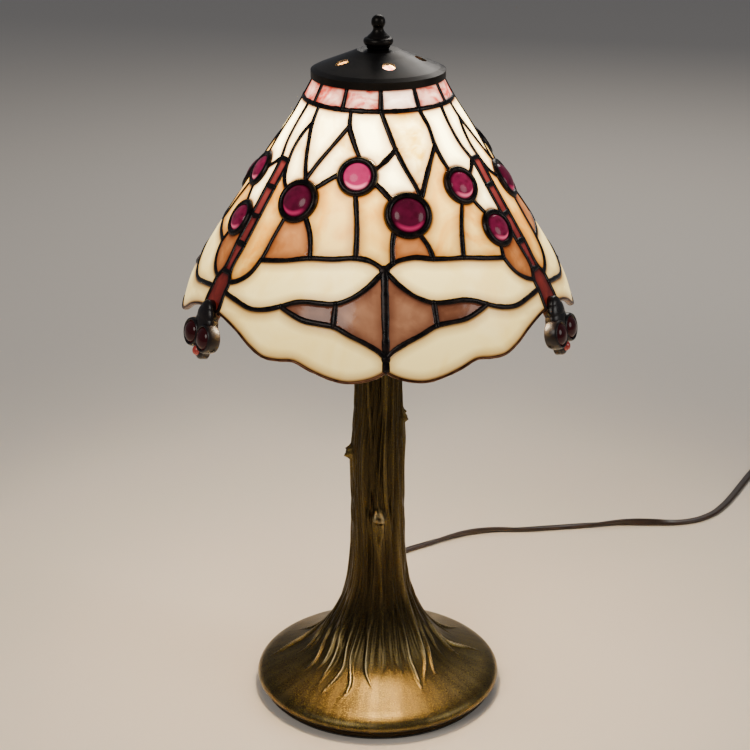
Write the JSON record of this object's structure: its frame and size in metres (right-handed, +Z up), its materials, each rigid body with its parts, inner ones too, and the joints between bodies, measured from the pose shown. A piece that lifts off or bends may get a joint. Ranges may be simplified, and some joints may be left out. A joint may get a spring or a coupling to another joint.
{
  "type": "stained glass table lamp",
  "caption": "Leaded glass table lamp: a flared shade with dragonflies and round jewels, hung from a bow over a bulb, on a cast tree-trunk foot with a flex and plug.",
  "frame": {"origin": "on the floor, on the axis of the trunk, at the middle of the foot's underside", "axes": "+Z up along the trunk and the shade's axis; -Y is the front, a seam between two dragonflies; +X to the right"},
  "size_m": [0.5589, 0.5522, 0.461],
  "materials": {
    "antique_bronze": "antique bronze, rubbed on the ridges",
    "cast_iron": "raw",
    "felt": "felt",
    "zinc_steel": "zinc plated",
    "cord_plastic": "satin",
    "dark_bronze": "near black, satin",
    "brass": "satin",
    "card": "card",
    "phenolic": "moulded",
    "bulb_glass": "frosted",
    "filament": "hot wire",
    "solder": "dark patina",
    "pink_glass": "opalescent",
    "cream_glass": "opalescent",
    "peach_glass": "opalescent",
    "amber_glass": "opalescent",
    "wing_glass": "opalescent",
    "mauve_glass": "opalescent",
    "red_glass": "streaky",
    "dark_red_glass": "streaky",
    "purple_jewel": "pressed and polished"
  },
  "bodies": {
    "root": {"trunk_casting": "antique_bronze", "base_weight": "cast_iron", "felt_pad": "felt", "threaded_rod": "zinc_steel", "rod_washer": "zinc_steel", "rod_nut": "zinc_steel", "cord_gland": "cord_plastic", "inner_lead": "cord_plastic", "check_ring": "dark_bronze", "bow_saddle": "brass", "lock_nut": "zinc_steel", "bow_wire": "brass", "bow_sleeves": "brass", "bow_boss": "brass", "socket_cap": "brass", "cap_set_screw": "zinc_steel", "socket_shell": "brass", "shell_liner": "card", "socket_core": "phenolic", "screw_shell": "brass", "centre_contact": "brass", "terminal_screws": "brass", "cord": "cord_plastic", "cord_coil": "cord_plastic", "cord_tail": "cord_plastic", "plug_body": "cord_plastic", "plug_blades": "brass"},
    "key": {"switch_key": "phenolic", "key_stem": "brass"},
    "bulb": {"bulb_glass": "bulb_glass", "bulb_cap": "zinc_steel", "bulb_tip": "zinc_steel", "bulb_stem": "bulb_glass", "filament": "filament"},
    "stud": {"shade_stud": "brass", "seat_disc": "brass"},
    "shade": {"heat_cap": "dark_bronze", "top_ring": "brass", "solder_lattice": "solder", "jewel_collars": "solder", "band_glass": "pink_glass", "crown_glass": "cream_glass", "shoulder_glass": "cream_glass", "skirt_glass": "peach_glass", "amber_glass": "amber_glass", "upper_wings": "wing_glass", "lower_wings": "wing_glass", "diamond_glass": "mauve_glass", "bar_glass": "mauve_glass", "tail_glass": "red_glass", "thorax_glass": "dark_red_glass", "large_jewels": "purple_jewel", "small_jewels": "purple_jewel", "head_solder": "solder", "eye_jewels": "dark_red_glass", "mouth_beads": "red_glass"},
    "finial": {"finial": "dark_bronze"}
  },
  "joints": [
    {"name": "key_turn", "type": "hinge", "parent": "root", "child": "key", "pos_m": [0, 0.03, 0.2855], "axis": [0, 1, 0], "continuous": true},
    {"name": "bulb_out", "type": "slide", "parent": "root", "child": "bulb", "axis": [0, 0, 1], "range_m": [0, 0.026]},
    {"name": "shade_turn", "type": "hinge", "parent": "root", "child": "stud", "pos_m": [0, 0, 0.436], "axis": [0, 0, 1], "continuous": true},
    {"name": "shade_lift", "type": "slide", "parent": "stud", "child": "shade", "axis": [0, 0, 1], "range_m": [0, 0.2]},
    {"name": "finial_turn", "type": "hinge", "parent": "shade", "child": "finial", "pos_m": [0, 0, 0.45], "axis": [0, 0, 1], "continuous": true}
  ]
}
